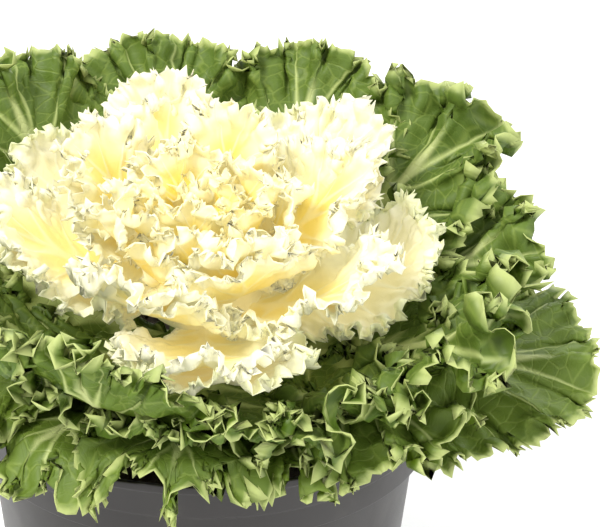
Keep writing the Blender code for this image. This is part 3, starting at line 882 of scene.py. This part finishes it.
def green_material():
    """Glaucous to yellow-green leaf with pale ribs, a fine net of veins and a pale edge."""
    nodes = Nodes("green_leaf_surface")
    fan = nodes.split(nodes.attribute("fan").outputs["Vector"])
    flat_vector = nodes.attribute("flat").outputs["Vector"]
    flat = nodes.split(flat_vector)
    under = nodes.attribute("under").outputs["Fac"]
    side = vein_values(nodes, fan, GREEN_FINISH.veins, 90.0)
    rib = nodes.ramp(flat[0], 0.0006, 0.0026, 1.0, 0.0)
    rib = nodes.math("MULTIPLY", rib, nodes.ramp(fan[1], 0.35, 0.75, 1.0, 0.0))
    net = nodes.ramp(nodes.cells(flat_vector, NET_CELLS_PER_METRE), 0.0, 0.09, 1.0, 0.0)
    fine = nodes.ramp(nodes.cells(flat_vector, FINE_CELLS_PER_METRE), 0.0, 0.09, 1.0, 0.0)
    clouds = nodes.noise(nodes.place(), 38.0, 4.0)
    spots = nodes.noise(nodes.place(), 260.0, 2.0)
    cool = nodes.mix(clouds, rgb(0.038, 0.090, 0.005), rgb(0.110, 0.182, 0.015))
    warm = nodes.mix(clouds, rgb(0.072, 0.136, 0.004), rgb(0.186, 0.265, 0.013))
    colour = nodes.mix(fan[2], cool, warm)
    colour = nodes.mix(nodes.ramp(spots, 0.35, 0.75, 0.0, 0.25), colour, rgb(0.044, 0.092, 0.006))
    colour = nodes.mix(nodes.ramp(under, 0.0, 1.0, 0.0, 0.35), colour, rgb(0.150, 0.215, 0.050))
    colour = nodes.mix(nodes.math("MULTIPLY", net, 0.42), colour, rgb(0.260, 0.340, 0.070))
    colour = nodes.mix(nodes.math("MULTIPLY", fine, 0.12), colour, rgb(0.210, 0.290, 0.055))
    colour = nodes.mix(nodes.math("MULTIPLY", side, 0.85), colour, rgb(0.520, 0.600, 0.220))
    colour = nodes.mix(nodes.math("MULTIPLY", rib, 0.90), colour, rgb(0.580, 0.640, 0.270))
    edge = nodes.ramp(fan[1], 0.955, 1.0, 0.0, 0.85)
    colour = nodes.mix(edge, colour, rgb(0.540, 0.610, 0.220))
    nodes.surface(colour, nodes.ramp(clouds, 0.3, 0.7, 0.42, 0.58))
    nodes.fill(nodes.shader, Specular_IOR_Level=0.30)
    nodes.bump(nodes.total((net, -0.5), (side, -1.0), (fine, -0.2)), 0.55, 0.0004)
    return nodes.material


def cream_material():
    """Ivory leaf, golden towards its foot and towards the heart's middle: partly the leaf's own
    yellow, partly painted light for the deep recesses; a faint painted glow stands for light
    through it.
    """
    nodes = Nodes("cream_leaf_surface")
    fan = nodes.split(nodes.attribute("fan").outputs["Vector"])
    flat_vector = nodes.attribute("flat").outputs["Vector"]
    flat = nodes.split(flat_vector)
    side = vein_values(nodes, fan, CREAM_FINISH.veins, 95.0)
    clouds = nodes.noise(nodes.place(), 45.0, 3.0)
    net = nodes.ramp(nodes.cells(flat_vector, 260.0), 0.0, 0.10, 1.0, 0.0)
    outer = nodes.mix(clouds, rgb(0.88, 0.85, 0.60), rgb(0.92, 0.90, 0.70))
    inner = nodes.mix(clouds, rgb(0.91, 0.82, 0.42), rgb(0.94, 0.88, 0.56))
    colour = nodes.mix(nodes.ramp(fan[2], 0.25, 1.0, 0.0, 0.85), outer, inner)
    # Gold at the foot, stronger on the inner leaves: partly the heart's own yellow, partly painted
    # light standing for the golden light in the deep recesses.
    foot = nodes.ramp(fan[1], 0.25, 0.97, 0.90, 0.0)
    depth = nodes.ramp(fan[2], 0.0, 0.7, 0.35, 1.0)
    colour = nodes.mix(nodes.math("MULTIPLY", foot, depth), colour, rgb(0.94, 0.74, 0.13))
    edge = nodes.ramp(fan[1], 0.86, 1.0, 0.0, 0.45)
    tinge = nodes.math("MULTIPLY", edge, nodes.ramp(fan[2], 0.0, 0.35, 1.0, 0.0))
    colour = nodes.mix(tinge, colour, rgb(0.70, 0.76, 0.30))
    colour = nodes.mix(nodes.math("MULTIPLY", side, 0.35), colour, rgb(0.97, 0.95, 0.80))
    nodes.surface(colour, nodes.ramp(clouds, 0.3, 0.7, 0.38, 0.50))
    # Painted glow: the emission stands for light shining through the cream leaves.
    nodes.fill(nodes.shader, Emission_Color=colour, Emission_Strength=LIGHT_THROUGH_CREAM)
    nodes.bump(nodes.total((net, 0.25), (side, 1.0)), 0.35, 0.0004)
    return nodes.material


def pot_material():
    """Charcoal moulded plastic: fine grain, dust and scuffs."""
    nodes = Nodes("pot_plastic_surface")
    place = nodes.place()
    clouds = nodes.noise(place, 18.0, 5.0, 0.6)
    grain = nodes.noise(place, 2600.0, 2.0)
    dust = nodes.ramp(nodes.noise(place, 60.0, 6.0, 0.65), 0.52, 0.75, 0.0, 0.30)
    colour = nodes.mix(clouds, rgb(0.012, 0.010, 0.009), rgb(0.020, 0.017, 0.016))
    colour = nodes.mix(dust, colour, rgb(0.070, 0.063, 0.057))
    nodes.surface(colour, nodes.ramp(clouds, 0.3, 0.7, 0.36, 0.50))
    nodes.bump(grain, 0.25, 0.0001)
    return nodes.material


def soil_material():
    """Dark moist peat with lighter fibres."""
    nodes = Nodes("soil_surface")
    place = nodes.place()
    clouds = nodes.noise(place, 180.0, 6.0, 0.7)
    colour = nodes.mix(clouds, rgb(0.016, 0.010, 0.007), rgb(0.085, 0.052, 0.032))
    fibres = nodes.ramp(nodes.noise(place, 700.0, 3.0), 0.66, 0.74, 0.0, 0.6)
    colour = nodes.mix(fibres, colour, rgb(0.170, 0.115, 0.070))
    nodes.surface(colour, 0.92)
    nodes.bump(clouds, 0.8, 0.001)
    return nodes.material


def stem_material():
    """Pale green stem with leaf-scar mottling."""
    nodes = Nodes("stem_surface")
    clouds = nodes.noise(nodes.place(), 120.0, 4.0)
    colour = nodes.mix(clouds, rgb(0.26, 0.36, 0.14), rgb(0.48, 0.55, 0.30))
    nodes.surface(colour, 0.55)
    nodes.bump(clouds, 0.4, 0.0005)
    return nodes.material


def turned_mesh(name, profile, steps, matrix=None):
    """A closed solid turned about Z from a profile that runs from axis to axis."""
    shape = bmesh.new()
    rings = []
    for radius, height in profile:
        if radius < 1e-7:
            rings.append([shape.verts.new((0.0, 0.0, height))])
            continue
        rings.append([shape.verts.new((radius * math.cos(2.0 * math.pi * step / steps),
                                       radius * math.sin(2.0 * math.pi * step / steps), height))
                      for step in range(steps)])
    for first, second in zip(rings, rings[1:]):
        for step in range(steps):
            after = (step + 1) % steps
            corners = [first[step % len(first)], first[after % len(first)],
                       second[after % len(second)], second[step % len(second)]]
            shape.faces.new(list(dict.fromkeys(corners)))
    bmesh.ops.recalc_face_normals(shape, faces=shape.faces)
    if matrix is not None:
        bmesh.ops.transform(shape, matrix=matrix, verts=shape.verts)
    mesh = bpy.data.meshes.new(name)
    shape.to_mesh(mesh)
    shape.free()
    mesh.shade_smooth()
    return mesh


def towards(corner, other, radius):
    """The place a radius away from a corner, or nearly half-way to the other place."""
    return corner.lerp(other, min(LONGEST_ROUNDING, radius / (other - corner).length))


def rounded(points, radius):
    """A profile whose inner corners are rounded, by short quadratic curves."""
    places = [Vector(point) for point in points]
    result = [points[0]]
    for before, corner, after in zip(places, places[1:], places[2:]):
        start = towards(corner, before, radius)
        end = towards(corner, after, radius)
        for step in range(ROUNDING_STEPS + 1):
            share = step / ROUNDING_STEPS
            place = start.lerp(corner, share).lerp(corner.lerp(end, share), share)
            result.append(tuple(place))
    result.append(points[-1])
    return result


def pot_outside(height):
    """The pot body's outer radius at a height below the band."""
    share = height / (POT_HEIGHT - POT_BAND_HEIGHT)
    return POT_BASE_RADIUS + (POT_BODY_TOP_RADIUS - POT_BASE_RADIUS) * share


def pot_profile():
    """The pot's section, from its floor's middle inside, over the rim, to the middle below."""
    band_foot = POT_HEIGHT - POT_BAND_HEIGHT
    lip_foot = POT_HEIGHT - POT_LIP_HEIGHT
    inner_step = band_foot + POT_WALL
    groove = band_foot + POT_GROOVE_SHARE * POT_BAND_HEIGHT
    widening = (POT_RIM_RADIUS - POT_BAND_FOOT_RADIUS) * POT_GROOVE_SHARE
    groove_radius = POT_BAND_FOOT_RADIUS + widening
    return [
        (0.0, POT_FLOOR),
        (pot_outside(POT_FLOOR) - POT_WALL, POT_FLOOR),
        (POT_BODY_TOP_RADIUS - POT_WALL, band_foot),
        (POT_BAND_FOOT_RADIUS - POT_WALL, inner_step),
        (POT_RIM_RADIUS - POT_WALL, POT_HEIGHT),
        (POT_RIM_RADIUS, POT_HEIGHT),
        (POT_RIM_RADIUS, lip_foot),
        (POT_RIM_RADIUS - POT_LIP_STEP, lip_foot - POT_LIP_STEP),
        (groove_radius, groove + POT_LIP_STEP),
        (groove_radius - POT_LIP_STEP, groove),
        (POT_BAND_FOOT_RADIUS, band_foot),
        (POT_BODY_TOP_RADIUS, band_foot - POT_LIP_STEP),
        (POT_BASE_RADIUS, POT_BASE_CHAMFER),
        (POT_BASE_RADIUS - POT_BASE_CHAMFER, 0.0),
        (0.0, 0.0),
    ]


def drain_cutter():
    """The pins that pierce the pot's floor, as one mesh of loose pins."""
    shape = bmesh.new()
    for index in range(DRAIN_COUNT):
        angle = 2.0 * math.pi * index / DRAIN_COUNT
        x = DRAIN_CIRCLE_RADIUS * math.cos(angle)
        y = DRAIN_CIRCLE_RADIUS * math.sin(angle)
        place = Matrix.Translation((x, y, POT_FLOOR / 2.0))
        bmesh.ops.create_cone(
            shape, cap_ends=True, segments=DRAIN_STEPS, radius1=DRAIN_RADIUS, radius2=DRAIN_RADIUS,
            depth=POT_FLOOR * 3.0, matrix=place)
    mesh = bpy.data.meshes.new("drain_pins")
    shape.to_mesh(mesh)
    shape.free()
    return new_object("drain_pins", mesh)


def make_pot():
    """The pot with rounded edges and its drain holes."""
    mesh = turned_mesh("pot_shell", rounded(pot_profile(), POT_EDGE_ROUNDING), POT_STEPS)
    pot = new_object("pot_blank", mesh)
    pins = drain_cutter()
    cut = pot.modifiers.new("drain_holes", "BOOLEAN")
    cut.operation = "DIFFERENCE"
    cut.object = pins
    depsgraph = bpy.context.evaluated_depsgraph_get()
    finished = bpy.data.meshes.new_from_object(pot.evaluated_get(depsgraph))
    bpy.data.objects.remove(pot)
    bpy.data.objects.remove(pins)
    finished.materials.clear()
    finished.shade_smooth()
    finished.set_sharp_from_angle(angle=POT_SHARP_ANGLE)
    return add_piece("pot_shell", finished, pot_material(), "pot")


def soil_height(x, y):
    """The lumpy top of the soil."""
    lumps = noise.fractal(Vector((x, y, 0.0)) * SOIL_LUMPS_PER_METRE, 1.0, 2.1, 5)
    crown = SOIL_CROWN * (1.0 - math.hypot(x, y) / POT_RIM_RADIUS)
    return SOIL_LEVEL + crown + SOIL_LUMP_HEIGHT * lumps


def soil_top_radius():
    """The soil's radius at its level, less the clearance."""
    inner_step = POT_HEIGHT - POT_BAND_HEIGHT + POT_WALL
    share = (SOIL_LEVEL - inner_step) / (POT_HEIGHT - inner_step)
    widening = (POT_RIM_RADIUS - POT_BAND_FOOT_RADIUS) * share
    return POT_BAND_FOOT_RADIUS - POT_WALL + widening - 2.0 * CLEARANCE


def soil_profile():
    """The soil's section, from the middle of its top down to the middle below."""
    band_foot = POT_HEIGHT - POT_BAND_HEIGHT
    floor = POT_FLOOR + CLEARANCE
    top = [(soil_top_radius() * ring / SOIL_RINGS, SOIL_LEVEL) for ring in range(SOIL_RINGS + 1)]
    return top + [
        (POT_BAND_FOOT_RADIUS - POT_WALL - CLEARANCE * 2.0, band_foot + POT_WALL + CLEARANCE),
        (POT_BODY_TOP_RADIUS - POT_WALL - CLEARANCE * 1.5, band_foot + CLEARANCE),
        (pot_outside(floor) - POT_WALL - CLEARANCE * 1.5, floor),
        (0.0, floor),
    ]


def crumb_matrix():
    """Where one crumb lies on the soil, how it is turned and its three sizes."""
    angle = random.uniform(0.0, 2.0 * math.pi)
    radius = soil_top_radius() * math.sqrt(random.random()) * CRUMB_REACH
    size = random.uniform(CRUMB_SMALLEST, CRUMB_LARGEST)
    x = radius * math.cos(angle)
    y = radius * math.sin(angle)
    spin = random.uniform(0.0, math.pi)
    axis = Vector((random.random(), random.random(), 1.0))
    width = size * random.uniform(*CRUMB_WIDTHS)
    sizes = (size, width, size * random.uniform(*CRUMB_HEIGHTS), 1.0)
    place = Matrix.Translation((x, y, soil_height(x, y)))
    return place @ Matrix.Rotation(spin, 4, axis) @ Matrix.Diagonal(sizes)


def make_soil():
    """Soil body with a lumpy top, and loose crumbs pressed into it."""
    random.seed(PLANT_SEED)
    mesh = turned_mesh("soil_body", soil_profile(), SOIL_STEPS)
    for vertex in mesh.vertices:
        if vertex.co.z > SOIL_LEVEL - 1e-6:
            vertex.co.z = soil_height(vertex.co.x, vertex.co.y)
    surface = soil_material()
    add_piece("soil_body", mesh, surface, "potting_soil")
    crumbs = bmesh.new()
    for _ in range(CRUMB_COUNT):
        bmesh.ops.create_icosphere(crumbs, subdivisions=1, radius=1.0, matrix=crumb_matrix())
    crumb_mesh = bpy.data.meshes.new("soil_crumbs")
    crumbs.to_mesh(crumb_mesh)
    crumbs.free()
    crumb_mesh.shade_smooth()
    add_piece("soil_crumbs", crumb_mesh, surface)


def make_stem():
    """The short stem that the leaves grow from."""
    profile = rounded([
        (0.0, STEM_TOP + 0.001),
        (STEM_RADIUS * 0.9, STEM_TOP),
        (STEM_RADIUS, STEM_TOP * 0.6),
        (STEM_RADIUS, 0.0),
        (STEM_ROOT_RADIUS, -STEM_ROOT_DEPTH),
        (0.0, -STEM_ROOT_DEPTH),
    ], 0.002)
    mesh = turned_mesh("stem_body", profile, STEM_STEPS, plant_matrix())
    add_piece("stem_body", mesh, stem_material(), "green_foliage")


def core_profile():
    """The heart's short core, which the cream leaves stand out of."""
    return [
        (0.0, HEART_FOOT_HEIGHT + 0.034),
        (0.010, HEART_FOOT_HEIGHT + 0.032),
        (0.020, HEART_FOOT_HEIGHT + 0.023),
        (0.022, HEART_FOOT_HEIGHT + 0.014),
        (0.010, HEART_FOOT_HEIGHT + 0.001),
        (0.0, HEART_FOOT_HEIGHT + 0.001),
    ]


def as_it_is(places, leaf):
    """Leaves the places where they are."""
    return places


def make_leaves():
    """All green and cream leaves, and the heart's core."""
    green = green_material()
    room = (keep_out_of_bowl, keep_over_rim)
    upper, lower = green_leaves()
    for name, leaves in (("green_upper_leaves", upper), ("green_lower_leaves", lower)):
        leaves_piece(name, leaves, GREEN_FINISH, GREEN_FINISH.columns, room, green,
                     "green_foliage")
    cream = cream_material()
    room = (keep_in_bowl, as_it_is)
    heart = heart_leaves()
    half = len(heart) // 2
    for name, leaves, columns in (
            ("cream_outer_leaves", heart[:half], CREAM_FINISH.columns),
            ("cream_inner_leaves", heart[half:], CREAM_INNER_COLUMNS),
            ("cream_filling_leaves", filling_leaves(), CREAM_INNER_COLUMNS)):
        leaves_piece(name, leaves, CREAM_FINISH, columns, room, cream,
                     "cream_heart")
    core = turned_mesh("cream_core", rounded(core_profile(), 0.003), STEM_STEPS, plant_matrix())
    add_piece("cream_core", core, cream, "cream_heart")


def plain_material(name, colour, roughness):
    """A plain stage material."""
    nodes = Nodes(name)
    nodes.surface(colour, roughness)
    return nodes.material


def make_floor():
    """A wide pale floor."""
    mesh = bpy.data.meshes.new("floor")
    side = FLOOR_HALF_SIDE
    corners = [(-side, -side, 0.0), (side, -side, 0.0), (side, side, 0.0), (-side, side, 0.0)]
    mesh.from_pydata(corners, [], [(0, 1, 2, 3)])
    floor = new_object("floor", mesh)
    mesh.materials.append(plain_material("floor_white", rgb(0.98, 0.98, 0.98), 0.9))


def area_light(name, place, target, size, power, colour=(1.0, 1.0, 1.0)):
    """A square soft light that looks at a place."""
    data = bpy.data.lights.new(name, "AREA")
    data.shape = "SQUARE"
    data.size = size
    data.energy = power
    data.color = colour
    light = new_object(name, data)
    light.location = place
    light.rotation_euler = (Vector(target) - Vector(place)).to_track_quat("-Z", "Y").to_euler()
    return light


def make_light():
    """A white studio: a soft key light from the left, a fill from the right, one behind."""
    world = bpy.data.worlds.new("studio")
    bpy.context.scene.world = world
    world.use_nodes = True
    background = world.node_tree.nodes["Background"]
    background.inputs["Color"].default_value = rgb(1.0, 1.0, 1.0)
    background.inputs["Strength"].default_value = WORLD_STRENGTH
    target = (0.0, 0.0, LIGHT_TARGET_HEIGHT)
    area_light("key_light", (-0.9, -0.7, 1.5), target, 0.7, KEY_WATTS, (1.0, 0.985, 0.96))
    area_light("fill_light", (1.2, -0.6, 0.7), target, 1.0, FILL_WATTS, (0.97, 0.98, 1.0))
    area_light("back_light", (0.4, 1.3, 1.2), target, 0.9, BACK_WATTS)


def make_camera():
    """The camera at the photograph's angle."""
    data = bpy.data.cameras.new("photo_camera")
    data.lens = CAMERA_LENS
    data.sensor_width = CAMERA_SENSOR
    data.sensor_fit = "HORIZONTAL"
    data.shift_x = CAMERA_SHIFT_X
    data.clip_start = 0.01
    camera = new_object("photo_camera", data)
    target = Vector((0.0, 0.0, CAMERA_TARGET_HEIGHT))
    away = Vector((0.0, -math.cos(CAMERA_ELEVATION), math.sin(CAMERA_ELEVATION)))
    camera.location = target + away * CAMERA_DISTANCE
    camera.rotation_euler = (-away).to_track_quat("-Z", "Y").to_euler()
    bpy.context.scene.camera = camera


make_camera()
make_light()
make_floor()
make_pot()
make_soil()
make_stem()
make_leaves()
bpy.context.scene.view_settings.view_transform = "Standard"
